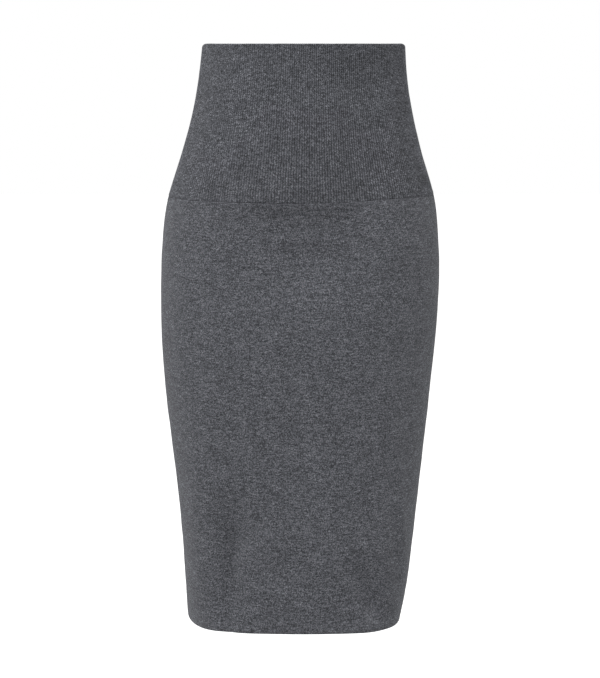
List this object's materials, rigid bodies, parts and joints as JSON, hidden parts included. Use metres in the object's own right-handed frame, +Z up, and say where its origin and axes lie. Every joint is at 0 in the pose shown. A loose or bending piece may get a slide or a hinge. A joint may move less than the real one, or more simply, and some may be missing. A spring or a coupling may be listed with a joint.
{
  "type": "pencil skirt",
  "caption": "Knee-length pencil skirt of fine grey knit with a deep ribbed waistband, in the hollow form it takes when worn.",
  "frame": {"origin": "middle of the waist opening, in the plane of the folded top edge, where the waist holds the skirt up", "axes": "+Z up along the body, -Y to the front, +X to the viewer's right as seen from the front"},
  "size_m": [0.3149, 0.2328, 0.6502],
  "materials": {
    "rib_knit": "soft matt rib knit, charcoal melange, two layers",
    "jersey_knit": "soft matt plain knit, charcoal melange, slightly fuzzy"
  },
  "bodies": {
    "root": {"waistband_front": "rib_knit", "waistband_back": "rib_knit", "skirt_front": "jersey_knit", "skirt_back": "jersey_knit"}
  },
  "joints": []
}
